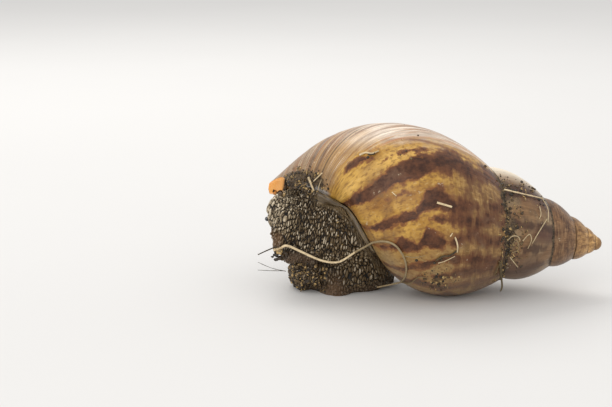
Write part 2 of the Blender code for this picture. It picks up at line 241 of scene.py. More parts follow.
APEX = Vector((55.7, -2.75, 16.0)) * MM
AXIS_PITCH = math.radians(9.1)
AXIS_YAW = math.radians(0.9)
LIP_ANGLE = math.radians(174.3)
AXIS = Vector((math.cos(AXIS_PITCH) * math.cos(AXIS_YAW),
               math.cos(AXIS_PITCH) * math.sin(AXIS_YAW),
               -math.sin(AXIS_PITCH)))
UP = (Vector((0, 0, 1)) - AXIS * AXIS.z).normalized()
NEAR = AXIS.cross(UP)

GROWTH = {
    "Seam Height": 47.8 * MM, "Seam Growth": 1.892, "Sway Cos": 0.041, "Sway Sin": 0.024,
    "Spire Slope": 0.716, "Spire Bend": 76.4 * MM,
    "Base Height": 111.4 * MM, "Base Growth": 1.79, "Base Radius": 3.2 * MM,
    "Belly": -39.0 * MM, "Belly Rise": 14.0 * MM, "Base Round": 0.43,
}
FIRST_TURN = -5.5
FIRST_WHORL_AT = 2.4 * MM
ROW_GROWTH = 1.5
GROWTH_SLANT = 0.10
SHELL_SIZES = {
    **GROWTH,
    "Rows": 700, "Columns": 104, "Ripple": 0.45 * MM, "Wall": 1.0 * MM,
    "Mouth Rows": 90, "Mouth Depth": 0.3, "Lip Edge": 0.012,
    "Nose Trim": 0.011, "Lip Corner": 0.05, "Lip Corner Starts": 0.55, "First Whorl": 2.3 * MM,
    "Apex Bulge": 0.8 * MM, "Covered From": -1.27, "Cover Margin": 0.05,
}


class Growth(Wire):
    """A socket of a Geometry Nodes tree, with what such a tree does to a shape."""

    def named(self, name):
        return self.node("GeometryNodeInputNamedAttribute", None, {"Name": name})

    def own_place(self):
        return self.node("GeometryNodeInputPosition")

    def keep(self, name, value, kind="FLOAT"):
        """This shape, with a value stored on its corners."""
        return self.node("GeometryNodeStoreNamedAttribute", {"data_type": kind},
                         {"Geometry": self, "Name": name, "Value": value})

    def placed(self, position):
        return self.node("GeometryNodeSetPosition", None, {"Geometry": self, "Position": position})

    def moved(self, offset):
        return self.node("GeometryNodeSetPosition", None, {"Geometry": self, "Offset": offset})

    def scaled(self, factor):
        """This vector, made longer or shorter."""
        return self.node("ShaderNodeVectorMath", {"operation": "SCALE"}, {0: self, "Scale": factor})

    def outwards(self, distance):
        """A move of this length away from the surface."""
        return self.node("GeometryNodeInputNormal").scaled(distance)

    def raised(self):
        """This place, lifted to the ground where it would be under it."""
        x, y, z = self.split()
        return self.vector(x, y, z.at_least(0))

    def real(self):
        """This shape, with each copy in it made a real mesh."""
        return self.node("GeometryNodeRealizeInstances", None, {0: self})

    def above_floor(self):
        """This shape, flat where it would reach under the ground."""
        return self.placed(self.own_place().raised())


def new_growth(name, sizes):
    """A Geometry Nodes tree, its inputs by name, and the shape that it starts from."""
    tree = bpy.data.node_groups.new(name, "GeometryNodeTree")
    tree.interface.new_socket(name="Shape", in_out="INPUT", socket_type="NodeSocketGeometry")
    tree.interface.new_socket(name="Geometry", in_out="OUTPUT", socket_type="NodeSocketGeometry")
    for label, value in sizes.items():
        kind = "NodeSocketInt" if isinstance(value, int) else "NodeSocketFloat"
        made = tree.interface.new_socket(name=label, in_out="INPUT", socket_type=kind)
        made.default_value = value
    entry = Growth(tree).node("NodeGroupInput")
    given = {label: entry.sibling(label) for label in sizes}
    return tree, given, entry


def end_growth(tree, shape, finish):
    """Close a tree: real meshes, one finish, out."""
    done = shape.node("GeometryNodeSetMaterial", None, {"Geometry": shape.real(), "Material": finish})
    out = tree.nodes.new("NodeGroupOutput")
    tree.links.new(done.socket, out.inputs[0])


def as_made(obj):
    """What an object's modifiers make of it, as a new mesh."""
    bpy.context.view_layer.update()
    graph = bpy.context.evaluated_depsgraph_get()
    return bpy.data.meshes.new_from_object(obj.evaluated_get(graph))


def plain_mesh(name, tree, sizes, start=None):
    """Run a tree and keep what it makes as a plain mesh in an object of its own."""
    obj = new_object(name, start or bpy.data.meshes.new(name + "_start"))
    grown = obj.modifiers.new("grow", "NODES")
    grown.node_group = tree
    for item in tree.interface.items_tree:
        if item.in_out == "INPUT" and item.name in sizes:
            grown[item.identifier] = sizes[item.name]
    mesh = as_made(obj)
    obj.modifiers.clear()
    obj.data = mesh
    mesh.name = name
    mesh.shade_smooth()
    return obj


def seam_of(turn, given):
    """Height below the apex and radius of the seam where a whorl begins."""
    angle = turn * (2 * math.pi)
    sway = given["Sway Cos"] * angle.math("COSINE", angle) + 1
    sway = sway + given["Sway Sin"] * angle.math("SINE", angle)
    height = given["Seam Height"] * given["Seam Growth"] ** turn * sway
    return height, given["Spire Slope"] * height / (1 + height / given["Spire Bend"])


def base_of(turn, given):
    """Height and radius of the whorl's lower end, and its size against the last whorl's."""
    scale = given["Base Growth"] ** turn
    return given["Base Height"] * scale, given["Base Radius"] * scale, scale


def whorl_of(turn, along, given):
    """Distance from the apex and radius of a point of a whorl, and where the next seam lies."""
    height, radius = seam_of(turn, given)
    end_height, end_radius, scale = base_of(turn, given)
    next_height, next_radius = seam_of(turn + 1, given)

    def close_in(x):
        return (1 - x).at_least(0) ** given["Base Round"]

    def swell(x):
        body = radius + given["Belly"] * scale * x * x + given["Belly Rise"] * scale * x * x * x
        return close_in(x) * body + end_radius * x

    seam = (next_height - height) / (end_height - height)
    linear = (next_radius - swell(seam)) / (close_in(seam) * seam)
    whorl = swell(along) + close_in(along) * linear * along
    return height + (end_height - height) * along, whorl, seam


def spot(turn, height, radius):
    """Position of a point given by its turn, distance from the apex and radius."""
    angle = turn * (2 * math.pi) + LIP_ANGLE
    near = radius * angle.math("COSINE", angle)
    rise = radius * angle.math("SINE", angle)
    return turn.vector(*(APEX[i] - height * AXIS[i] + near * NEAR[i] + rise * UP[i] for i in range(3)))


def lip_corner(along, given):
    """How far the lip's front corner reaches on past the rest of the lip, in turns."""
    reach = along.step(given["Lip Corner Starts"], 0.95) * (1 - along.step(0.975, 1.0) * 0.75)
    return reach * given["Lip Corner"]


def shell_sheet(given, start, rows, first_turn, even=False):
    """A flat sheet whose corners know their turn and their place along the whorl. Its rows run
    from a first turn to the lip, and lie closer on the older whorls unless they are even."""
    grid = start.node("GeometryNodeMeshGrid", None, {
        "Size X": 1.0, "Size Y": 1.0, "Vertices X": rows, "Vertices Y": given["Columns"]})
    x, y, _ = start.own_place().split()
    u, v = x + 0.5, y + 0.5
    if even:
        turn = (1 - u) * first_turn
    else:
        low = ROW_GROWTH ** first_turn
        width = u * (1 - low) + low
        turn = width.math("LOGARITHM", width, ROW_GROWTH)
    along = (1 - (1 - v) * (1 - v)) * (1 - turn.step(-0.115, -0.045) * given["Nose Trim"])
    turn = turn + lip_corner(along, given) * turn.step(-0.16, 0)
    return grid.keep("turn", turn).keep("along", along).keep("across", v)


tree, given, start = new_growth("shell_growth", SHELL_SIZES)
turn, along = start.named("turn"), start.named("along")
height, radius, seam = whorl_of(turn.at_most(0), along, given)
grown = along * along * along * GROWTH_SLANT + turn
size = given["Base Growth"] ** turn

# Growth lines: fine ribs and wider waves across the whorl, which fade out at its base.
ribs = start.pattern(grown * 46, along * 1.6, 0) - 0.5
waves = start.pattern(grown * 9, along * 1.2, 7.3, 1.0, 0.5) - 0.5
fade = (1 - along).step(0, 0.08)
ripple = (ribs + waves * 1.6) * given["Ripple"] * size * fade
bent = spot(turn, height, radius + ripple + turn.step(-2.4, -4.0) * given["Apex Bulge"]).raised()

# The outside, without what the next whorl covers.
outside = shell_sheet(given, start, given["Rows"], FIRST_TURN).placed(bent)
covered = start.node("FunctionNodeBooleanMath", {"operation": "AND"}, {
    0: start.node("FunctionNodeCompare", {"operation": "LESS_THAN"}, {0: turn, 1: given["Covered From"]}),
    1: start.node("FunctionNodeCompare", {"operation": "GREATER_THAN"},
                  {0: along, 1: seam + given["Cover Margin"]})})
outside = start.node("GeometryNodeDeleteGeometry", None, {"Geometry": outside, "Selection": covered})
outside = outside.keep("inner", 0.0)

# The inside of the mouth lies a wall's thickness further in, and meets the outside at the lip.
inside = shell_sheet(given, start, given["Mouth Rows"], given["Mouth Depth"] * -1, even=True).placed(bent)
across = start.named("across")
back = (lip_corner(along, given) - turn) / given["Lip Edge"]
rim = back.step(0, 1) ** 0.5
edge = (across * 22).at_most(1) * ((1 - across) * 6).at_most(1)
inside = inside.moved(start.outwards(rim * edge * given["Wall"] * -1))
inside = start.node("GeometryNodeFlipFaces", None, {0: inside}).keep("inner", 1.0)

# A bead at the first whorl closes the spire.
tip = start.node("GeometryNodeMeshUVSphere", None,
                 {"Segments": 28, "Rings": 16, "Radius": given["First Whorl"]})
tip = start.node("GeometryNodeTransform", None,
                 {"Geometry": tip, "Translation": tuple(APEX - AXIS * FIRST_WHORL_AT)})
tip = tip.keep("turn", FIRST_TURN).keep("along", 0.5).keep("inner", 0.0)

both = tree.nodes.new("GeometryNodeJoinGeometry")
for sheet in (outside, inside, tip):
    tree.links.new(sheet.socket, both.inputs[0])
joined = Growth(tree, both.outputs[0])
joined = joined.node("GeometryNodeMergeByDistance", None, {"Geometry": joined, "Distance": 0.005 * MM})
shell_finish, wire = new_finish("shell_horn")
end_growth(tree, joined, shell_finish)
shell = plain_mesh("snail_shell", tree, SHELL_SIZES)

# The purple-brown flames, laid down along the growing lip. Each course runs from
# the seam to the mouth's base: where it is along the lip, how many turns back
# from the lip, and its half width in turns.
COURSES = [
    ((0.0, 0.326, 0.01), (0.2, 0.331, 0.015), (0.33, 0.326, 0.024), (0.47, 0.332, 0.021),
     (0.68, 0.343, 0.022), (0.86, 0.349, 0.017), (1.0, 0.346, 0.014)),
    ((0.0, 0.388, 0.012), (0.23, 0.411, 0.009), (0.36, 0.421, 0.013), (0.43, 0.402, 0.02),
     (0.53, 0.402, 0.017), (0.6, 0.43, 0.01), (0.8, 0.433, 0.009), (1.0, 0.444, 0.006)),
    ((0.0, 0.44, 0.004), (0.2, 0.438, 0.01), (0.38, 0.445, 0.011), (0.46, 0.442, 0.004),
     (1.0, 0.44, -0.01)),
    ((0.0, 0.492, 0.008), (0.12, 0.484, 0.01), (0.24, 0.467, 0.008), (0.36, 0.486, 0.01),
     (0.48, 0.486, 0.017), (0.54, 0.474, 0.02), (0.6, 0.494, 0.009), (0.7, 0.485, 0.013),
     (0.9, 0.492, 0.007), (1.0, 0.5, 0.002)),
    ((0.0, 0.548, 0.01), (0.16, 0.534, 0.006), (0.27, 0.526, 0.01), (0.43, 0.524, 0.007),
     (0.7, 0.548, 0.009), (1.0, 0.57, 0.004)),
    ((0.0, 0.572, 0.01), (0.16, 0.563, 0.008), (0.31, 0.559, 0.01), (0.42, 0.566, 0.002),
     (1.0, 0.57, -0.01)),
    ((0.0, 0.612, 0.011), (0.3, 0.607, 0.01), (0.45, 0.612, 0.012), (0.61, 0.594, 0.012),
     (1.0, 0.6, 0.008)),
    ((0.0, 0.382, -0.02), (0.5, 0.382, -0.012), (0.62, 0.384, 0.0), (0.78, 0.383, 0.0),
     (0.9, 0.383, -0.015)),
    ((0.0, 0.27, -0.02), (0.74, 0.285, -0.01), (0.79, 0.28, 0.007), (0.85, 0.263, 0.009),
     (0.91, 0.254, 0.007), (0.95, 0.256, -0.006), (1.0, 0.26, -0.02)),
    ((0.0, 0.3, 0.004), (0.3, 0.298, -0.004), (0.45, 0.3, 0.001), (0.6, 0.298, 0.004),
     (0.75, 0.3, -0.006)),
    ((0.0, 1.295, 0.014), (0.3, 1.31, 0.020), (0.40, 1.318, 0.020), (0.56, 1.325, 0.018)),
    ((0.0, 1.42, 0.008), (0.3, 1.425, 0.006), (0.5, 1.420, 0.011), (0.6, 1.42, 0.0)),
    ((0.0, 1.50, -0.01), (0.2, 1.50, 0.010), (0.35, 1.505, 0.010), (0.5, 1.50, -0.01)),
    ((0.0, 1.575, 0.012), (0.2, 1.585, 0.016), (0.4, 1.590, 0.012), (0.6, 1.60, 0.008)),
]

# Further back, flames follow one another by chance, but not where the four above lie.
LAST_FLAME = 5.3
dice = np.random.default_rng(11)
back = 0.61
while back < LAST_FLAME:
    back += dice.uniform(0.05, 0.085)
    if 1.22 < back < 1.64:
        continue
    COURSES.append([(at, back + dice.uniform(-0.014, 0.014), dice.uniform(0.004, 0.019))
                    for at in (0, 0.15, 0.28, 0.4, 0.5, 0.62, 0.8, 1.0)])


def read_attribute(mesh, name):
    """An attribute's value at each corner of a mesh."""
    values = np.empty(len(mesh.vertices), np.float32)
    mesh.attributes[name].data.foreach_get("value", values)
    return values.astype(float)


def add_attribute(mesh, name, values):
    """Store a value at each corner of a mesh."""
    made = mesh.attributes.new(name, "FLOAT", "POINT")
    made.data.foreach_set("value", values.astype(np.float32))


shell_turn = read_attribute(shell.data, "turn")
shell_along = read_attribute(shell.data, "along")
grown = shell_turn + GROWTH_SLANT * shell_along ** 3
flame = np.full(len(grown), -0.06)
for course in COURSES:
    at, back, half = (np.array(column) for column in zip(*course))
    depth = np.interp(shell_along, at, half) - np.abs(grown + np.interp(shell_along, at, back))
    flame = np.maximum(flame, depth)
add_attribute(shell.data, "banding", flame * 100)

# How many millimetres the lip has travelled since the first whorl.
LIP_TRAVEL_MM = 324
turn, along, flame, inner = (wire.attribute(name) for name in ("turn", "along", "banding", "inner"))
place = wire.object_place()
x, _, z = place.split()
grown = along * along * along * GROWTH_SLANT + turn
arc = GROWTH["Base Growth"] ** grown * LIP_TRAVEL_MM
striae = wire.pattern(arc * 1.1, along * 3, 0, 4.0, 0.65)
hairlines = wire.pattern(arc * 3.2, along * 7, 4.0)
streaks = wire.pattern(arc * 0.42, along * 1.6, 9.0, 3.0, 0.62)
spirals = wire.pattern(along * 58, turn * 11, 2.0)
clouds = wire.noise(place, 85.0, 3.0, 0.6)
columns = wire.pattern(along * 24 + clouds * 1.6, turn * 9, 5.0, 3.0, 0.62)
blotch = wire.pattern(grown * 34, along * 8, 1.0, 4.0, 0.62)
spots = wire.noise(place, 330.0, 4.0, 0.65)
fine = wire.noise(place, 1100.0, 4.0, 0.6)
upper = (along + (clouds - 0.5) * 0.2).step(0.54, 0.18)
young = (grown + (clouds - 0.5) * 0.10 - along.step(0.60, 0.85) * 0.035).step(-0.300, -0.250)

# Each flame has a ragged edge: a reddish rim, then the purple-brown middle. Near the
# seam the pigment runs in columns, so that the flames melt into one another there.
depth = flame + (blotch - 0.5) * 4.0 + (spots - 0.5) * 2.8
smudge = wire.pattern(grown * 17, along * 7, 3.0)
melting = (spirals - 0.5) * 3.0 + (columns - 0.465) * 6.5 + (smudge - 0.45) * 8.0
depth = depth + melting * upper * (1 - young)
blur = upper * 0.8
rim = depth.step(-0.55 - blur * 1.2, blur * 0.8)
middle = depth.step(-0.05 - blur * 0.6, blur * 1.6 + 0.40)
ground = blotch.shade(0.32, 0.68, (0.35, 0.172, 0.029), (0.62, 0.365, 0.078))
straw = clouds.shade(0.35, 0.65, (0.25, 0.135, 0.05), (0.34, 0.23, 0.095))
olive = spirals.shade(0.32, 0.62, (0.13, 0.063, 0.021), (0.35, 0.205, 0.074))
mottle = wire.pattern(arc * 0.9, along * 30, 6.0)
ground = ground.coats(
    clouds.step(0.46, 0.62) * 0.65, (0.20, 0.085, 0.028),
    grown.step(-0.44, -0.54) * 0.8, straw,
    grown.bump_at(-0.385, 0.035) * along.step(0.52, 0.60) * 0.5, (0.28, 0.125, 0.030),
    grown.bump_at(-0.305, 0.030) * 0.45, (0.80, 0.50, 0.14),
    upper * grown.step(-0.30, -0.37), olive,
    mottle.step(0.48, 0.66) * 0.6, (0.15, 0.065, 0.022),
    mottle.step(0.42, 0.30) * 0.35, (0.60, 0.43, 0.20))
flames = spots.shade(0.3, 0.7, (0.036, 0.012, 0.006), (0.13, 0.048, 0.020))
flames = wire.mix(middle, wire.mix(clouds, (0.16, 0.058, 0.018), (0.27, 0.11, 0.035)), flames)
flames = flames.coats(upper * (1 - middle) * 0.8, (0.105, 0.052, 0.027))
colour = wire.mix(rim, ground, flames)

# The youngest part is thinner and paler, with dark and rusty growth streaks.
threads = wire.pattern(arc * 2.2, along * 5, 12.0, 4.0, 0.7)
# The pale colour is partly the young shell's own and partly painted sheen; the thin white threads laid on
# it are painted highlights.
pale = streaks.shade(0.34, 0.58, (0.36, 0.235, 0.155), (0.86, 0.73, 0.59))
low_side = streaks.shade(0.36, 0.60, (0.16, 0.085, 0.038), (0.56, 0.335, 0.135))
golden = grown.step(-0.19, -0.27) * along.step(0.86, 0.95)
drab = grown.step(-0.14, -0.06) * along.step(0.86, 0.95)
rust = streaks.bump_at(0.44, 0.07) * striae.step(0.4, 0.6)
worn = along.step(0.93, 1.0) * grown.step(-0.02, -0.16)
pale = pale.coats(
    (along + (clouds - 0.5) * 0.3).step(0.62, 0.90), low_side,
    golden * 0.65, wire.mix(striae, (0.28, 0.125, 0.028), (0.62, 0.35, 0.10)),
    drab * 0.6, spots.shade(0.3, 0.7, (0.12, 0.085, 0.055), (0.34, 0.26, 0.18)),
    striae.step(0.60, 0.40) * 0.45, (0.17, 0.095, 0.055),
    threads.step(0.54, 0.66) * 0.75, (0.88, 0.76, 0.62),
    threads.step(0.45, 0.34) * 0.5, (0.085, 0.045, 0.030),
    rust * 0.9, (0.40, 0.155, 0.035),
    worn * 0.5, spots.shade(0.4, 0.62, (0.07, 0.045, 0.028), (0.26, 0.165, 0.085)))
rusty_line = (grown - along * 0.10).bump_at(-0.324, 0.008) * along.step(0.80, 0.6)
rusty_line = rusty_line * streaks.step(0.3, 0.55)
later_line = grown.bump_at(-0.262, 0.005) * along.step(0.86, 0.6) * striae.step(0.3, 0.55)
rest_line = (grown + (blotch - 0.5) * 0.006).bump_at(-0.168, 0.0028) * along.step(0.70, 0.80)
colour = colour.coats(
    young, pale,
    rusty_line * 0.85, (0.17, 0.060, 0.022),
    later_line * 0.8, (0.42, 0.15, 0.03),
    rest_line, (0.028, 0.018, 0.014))

# The spire is the oldest part, worn to a grey olive brown, and pale tan at its tip.
spire = turn.step(-1.0, -1.02)
older = spots.shade(0.35, 0.65, (0.075, 0.035, 0.020), (0.21, 0.108, 0.050))
older = older.coats(
    threads.step(0.55, 0.66) * 0.4, (0.36, 0.22, 0.11),
    hairlines.step(0.45, 0.33) * 0.6, (0.07, 0.035, 0.020),
    spirals.step(0.50, 0.62) * 0.45, (0.40, 0.25, 0.13),
    spirals.step(0.46, 0.36) * 0.5, (0.085, 0.042, 0.028))
old = striae.shade(0.3, 0.7, (0.155, 0.080, 0.037), (0.27, 0.155, 0.072))
purple = turn.bump_at(-1.605, 0.13) * along.step(0.05, 0.3)
purple = purple + turn.bump_at(-1.45, 0.06) * along.step(0.36, 0.18) + turn.bump_at(-1.325, 0.05)
# Painted sheen: a pale cream band along the top of the second whorl, where light catches it.
whorl_top_sheen = turn.bump_at(-1.205, 0.105) * striae.step(0.15, 0.45)
old = old.coats(
    clouds.step(0.42, 0.60) * 0.6, (0.28, 0.205, 0.118),
    spots.step(0.50, 0.66) * 0.45, (0.075, 0.048, 0.028),
    blotch.step(0.42, 0.30) * 0.4, (0.36, 0.26, 0.15),
    purple * spots.step(0.14, 0.46) * 0.9, (0.090, 0.042, 0.030),
    (middle + rim) * 0.40, (0.055, 0.026, 0.018),
    whorl_top_sheen * 0.9, (0.95, 0.84, 0.66),
    turn.step(-1.95, -2.1), older)
tan = (striae * 0.6 + spots * 0.5).shade(0.35, 0.7, (0.22, 0.105, 0.036), (0.74, 0.44, 0.17))
tan = tan.coats(
    threads.step(0.52, 0.40) * 0.6, (0.12, 0.058, 0.024),
    spirals.step(0.47, 0.38) * 0.6, (0.13, 0.060, 0.028))
colour = colour.coats(
    spire, old,
    x.step(0.0425, 0.0535), tan,
    hairlines.step(0.42, 0.24) * 0.55, (0.10, 0.05, 0.03))

# Soil sits in the seam, on the under side and in a thin film all over.
seam_dirt = along.step(0.075, 0.0) + (spots - 0.5) * 1.6 + (fine - 0.5) * 0.5
crust = along.step(0.978, 0.999) * turn.step(-0.36, -0.26) * turn.step(-0.03, -0.09)
packed = (turn.bump_at(-1.46, 0.19) + turn.bump_at(-1.31, 0.05) * 0.8) * along.step(0.33, 0.54)
packed = packed + grown.bump_at(-0.50, 0.22) * along.step(0.09, 0.0)
under = grown.bump_at(-0.585, 0.055) * along.bump_at(0.47, 0.2)
caked = (crust + packed * 0.85 + under * 0.7) * (spots * 1.3 + clouds * 0.9 - 0.1)
soil = seam_dirt.step(0.42, 0.85).at_least(caked.step(0.50, 0.85) * 0.9)
film = clouds.step(0.52, 0.72) * spots.step(0.45, 0.6) * 0.35
colour = colour.coats(
    film, (0.13, 0.10, 0.065),
    # Painted light: the lowest part of the shell is made paler, as if lit from the table below.
    z.step(0.019, 0.004) * 0.22, (0.36, 0.27, 0.18),
    spots.step(0.66, 0.71) * 0.5, (0.62, 0.52, 0.36),
    soil, fine.shade(0.35, 0.65, (0.018, 0.013, 0.009), (0.12, 0.085, 0.05)))
# The orange glaze in the mouth, with painted light and shade: a lighter band higher up, darker at the
# lip's front corner, and near black deeper in the mouth.
dapple = wire.noise(place, 420.0, 3.0, 0.6)
glaze_light_and_shade = dapple.shade(0.35, 0.65, (0.90, 0.33, 0.055), (1.0, 0.58, 0.24))
glaze_light_and_shade = glaze_light_and_shade.coats(
    turn.step(0.024, 0.040) * 0.5, (0.40, 0.17, 0.06),
    along.step(0.965, 0.935) * 0.6, (1.0, 0.66, 0.34),
    (along + (spots - 0.5) * 0.03).step(0.926, 0.912), (0.035, 0.02, 0.012),
    turn.step(-0.03, -0.08), (0.05, 0.026, 0.013))
lip_edge = along.step(0.9986, 0.9996) * turn.step(-0.36, -0.32) * turn.step(-0.15, -0.21)
colour = colour.coats(
    inner, glaze_light_and_shade,
    lip_edge * 0.75, wire.mix(fine, (0.24, 0.225, 0.21), (0.50, 0.48, 0.46)))
rough = (striae * 0.22 + spots * 0.18 + 0.15) * (1 - inner * 0.4) + soil * 0.35
height = striae * 0.55 + hairlines * 0.22 + fine * (soil * 0.5 + 0.06) + spots * 0.12
# Painted glow: the glaze's upper band near the lip gives off orange light, standing in for light coming
# through the thin shell.
painted_glow = wire.mix(inner * turn.step(-0.05, 0.0) * along.step(0.912, 0.93), (0, 0, 0), (1.0, 0.48, 0.13))
set_surface(shell_finish, colour, rough, wire.relief(0.5, 0.0004, height),
            Specular_IOR_Level=0.28, Emission_Color=painted_glow, Emission_Strength=0.60)

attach(shell, "root")
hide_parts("shell")

# ---------------------------------------------------------------------------
# The soft body: neck, head and foot are one wet muscular hide, packed with long
# knobs and parted by deep folds. One skin covers all of it without a seam.

HIDE_SOLIDS = ("neck", "head", "foot_front", "foot_middle", "tail", "lips",
               "upper_tentacle_right", "upper_tentacle_left",
               "lower_tentacle_right", "lower_tentacle_left")
SWELL = 0.3 * MM
HIDE_SQUARES = 0.32 * MM
CROWN_ENDS = -36 * MM
CROWN_OVERLAP = 2 * MM


def swollen_solids(name, nodes, swell, keep_front=True):
    """One mesh of some solids, each grown enough to touch its neighbours. Of the mantle,
    it keeps what lies in front of CROWN_ENDS, or behind it."""
    grid = bmesh.new()
    for node in nodes:
        one = bmesh.new()
        one.from_mesh(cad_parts[node].data)
        bmesh.ops.remove_doubles(one, verts=one.verts, dist=1e-6)
        if node == "mantle_collar":
            cut = bmesh.ops.bisect_plane(
                one, geom=one.verts[:] + one.edges[:] + one.faces[:], dist=1e-6, plane_no=(1, 0, 0),
                plane_co=(CROWN_ENDS - (0 if keep_front else CROWN_OVERLAP), 0, 0),
                clear_outer=keep_front, clear_inner=not keep_front)
            rim = [item for item in cut["geom_cut"] if isinstance(item, bmesh.types.BMEdge)]
            bmesh.ops.holes_fill(one, edges=rim)
        one.normal_update()
        moves = [corner.normal * swell for corner in one.verts]
        for corner, move in zip(one.verts, moves):
            corner.co += move
        part = bpy.data.meshes.new("part")
        one.to_mesh(part)
        one.free()
        grid.from_mesh(part)
        bpy.data.meshes.remove(part)
    mesh = bpy.data.meshes.new(name)
    grid.to_mesh(mesh)
    grid.free()
    return mesh


def melted(mesh, voxel, rounds):
    """Fuse touching bodies into one skin of even squares, then smooth it."""
    obj = new_object("melted", mesh)
    fuse = obj.modifiers.new("fuse", "REMESH")
    fuse.mode = "VOXEL"
    fuse.voxel_size = voxel
    soften = obj.modifiers.new("soften", "SMOOTH")
    soften.factor = 0.5
    soften.iterations = rounds
    skin = as_made(obj)
    bpy.data.objects.remove(obj)
    return skin


def collar_colour(place, gap):
    """The mantle's smooth olive brown: fine lines along its margin, a pale rim at the shell."""
    x, _, z = place.split()
    mottle = place.noise(place, 260.0, 4.0, 0.6)
    lines = place.pattern(x * 150, gap * 2.4, z * 150)
    margin = (gap + (mottle - 0.5) * 1.2).step(1.2, 0.5)
    return lines.shade(0.35, 0.65, (0.062, 0.040, 0.019), (0.19, 0.135, 0.070)).coats(
        mottle.step(0.42, 0.62) * 0.5, (0.085, 0.058, 0.030),
        margin * 0.5, (0.25, 0.212, 0.150))


HIDE_SIZES = {
    "Swell": SWELL, "Knob Width": 0.95 * MM, "Knob Length": 2.3 * MM, "Knob Height": 0.85 * MM,
    "Wrinkle": 0.8 * MM, "Eyelid": 2.0 * MM, "Brow": 2.0 * MM, "Chin": 3.2 * MM, "Crease": 2.2 * MM,
    "Tuck": 4.5 * MM,
}
drawn_in = sum((Vector(corner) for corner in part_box("eye_left")), Vector()) / 2
BROW_AT = Vector((-51, -1, 29.5)) * MM
CHIN_AT = Vector((-46.9, -4.5, 10.2)) * MM


def knobs(place, width, length):
    """Height from 0 to 1 of the long, close-set knobs at a place on the resting skin."""
    x, y, z = place.split()
    drift = place.noise(place, 170.0, 2.0) - 0.5
    lean = x.step(-0.028, -0.052) * 0.40 + 0.02
    cells = place.vector((x - z * lean) / width + drift * 1.6, y / width + drift, z / length + drift * 1.2)
    cells = {"Vector": cells, "Scale": 1.0}
    gap = place.node("ShaderNodeTexVoronoi", {"feature": "DISTANCE_TO_EDGE"}, cells)
    centre = place.node("ShaderNodeTexVoronoi", {"feature": "F1"}, cells, out="Distance")
    kind, _, _ = centre.sibling("Color").split()
    return gap.step(0.0, 0.2) ** 0.8 * (1 - centre * 0.6).step(0.0, 1.0) * (kind * 0.35 + 0.65)


def near_shell(gap, x):
    """Where the hide turns smooth, like the mantle, beside the shell."""
    return gap.step(4.2, 2.6) * x.step(-0.041, -0.037)


def under_root(x, z):
    """The hollow below the long root, where the hide is bare and brown."""
    return x.bump_at(-0.0440, 0.0085) ** 0.5 * z.bump_at(0.0120, 0.0030) ** 0.5


def swelling(place, at, reach, height):
    """A round rise of the skin."""
    away = place.node("ShaderNodeVectorMath", {"operation": "DISTANCE"}, {0: place, 1: tuple(at)},
                      out="Value")
    return away.step(reach, reach * 0.15) * height


tree, given, start = new_growth("hide_growth", HIDE_SIZES)
resting = start.own_place()
x, y, z = resting.split()
knob = knobs(resting, given["Knob Width"], given["Knob Length"])
wrinkle = start.pattern(x * 300, y * 300, z * 120, 2.0, 0.5) - 0.5
smooth = near_shell(start.named("shell gap"), x)
bare = under_root(x, z) * y.step(0.0, -0.004)
tuck = x.bump_at(-0.0393, 0.0042) ** 0.6 * z.step(0.0052, 0.0022) * y.step(0.006, -0.004)
crease = (x + z * 0.25).bump_at(-0.0345, 0.0019) * z.step(0.016, 0.010) * y.step(0.004, -0.002)
lift = (knob - 0.45) * given["Knob Height"] * (1 - smooth * 0.85) * (1 - bare * 0.7)
lift = lift + wrinkle * given["Wrinkle"] - given["Swell"]
lift = lift - crease * given["Crease"] + swelling(resting, drawn_in, 0.0034, given["Eyelid"])
lift = lift + swelling(resting, BROW_AT, 0.0065, given["Brow"])
lift = lift + swelling(resting, CHIN_AT, 0.0062, given["Chin"])
move = start.outwards(lift * z.step(0, 0.0007))
inwards = start.vector(0, tuck * given["Tuck"], 0)
move = start.node("ShaderNodeVectorMath", {"operation": "ADD"}, {0: move, 1: inwards})
shape = start.keep("resting", resting, "FLOAT_VECTOR").moved(move).above_floor()
hide_finish, wire = new_finish("wet_hide")
end_growth(tree, shape, hide_finish)

shell_tree = BVHTree.FromPolygons([corner.co for corner in shell.data.vertices],
                                  [face.vertices for face in shell.data.polygons])


def with_shell_gap(mesh):
    """The same mesh, which now knows how many millimetres each corner lies from the shell."""
    gaps = [shell_tree.find_nearest(corner.co)[3] / MM for corner in mesh.vertices]
    add_attribute(mesh, "shell gap", np.array(gaps))
    return mesh


melted_flesh = melted(swollen_solids("hide", (*HIDE_SOLIDS, "mantle_collar"), SWELL), HIDE_SQUARES, 3)
hide = plain_mesh("snail_skin", tree, HIDE_SIZES, with_shell_gap(melted_flesh))

resting = wire.attribute("resting").sibling("Vector")
knob = knobs(resting, HIDE_SIZES["Knob Width"], HIDE_SIZES["Knob Length"])
place = wire.object_place()
x, y, z = place.split()
patch = wire.noise(place, 90.0, 3.0)
grain = wire.noise(place, 2600.0, 3.0, 0.6)
glint = wire.pattern((x - z * 0.25) * 1000, y * 1000, z * 420, 2.0, 0.5)
# Knob tops are lighter than the skin between them: partly the skin's own tone, partly a painted highlight
# where light falls on them.
tops_and_highlight = patch.shade(0.35, 0.7, (0.092, 0.061, 0.030), (0.170, 0.117, 0.059))
# On the upper left of the head the skin is paler: partly its own paler tone, partly a painted wet sheen.
beige_and_sheen = x.step(-0.042, -0.050) * z.step(0.019, 0.026) * z.step(0.037, 0.034)
tops_and_highlight = tops_and_highlight.coats(beige_and_sheen * 0.85, (0.40, 0.325, 0.215))
body = wire.mix(patch, (0.030, 0.018, 0.009), (0.060, 0.037, 0.017))
body = body.coats(
    x.step(-0.040, -0.030) * 0.45, (0.13, 0.078, 0.028),
    beige_and_sheen * 0.6, (0.15, 0.105, 0.060),
    knob.step(0.30, 0.65), tops_and_highlight)
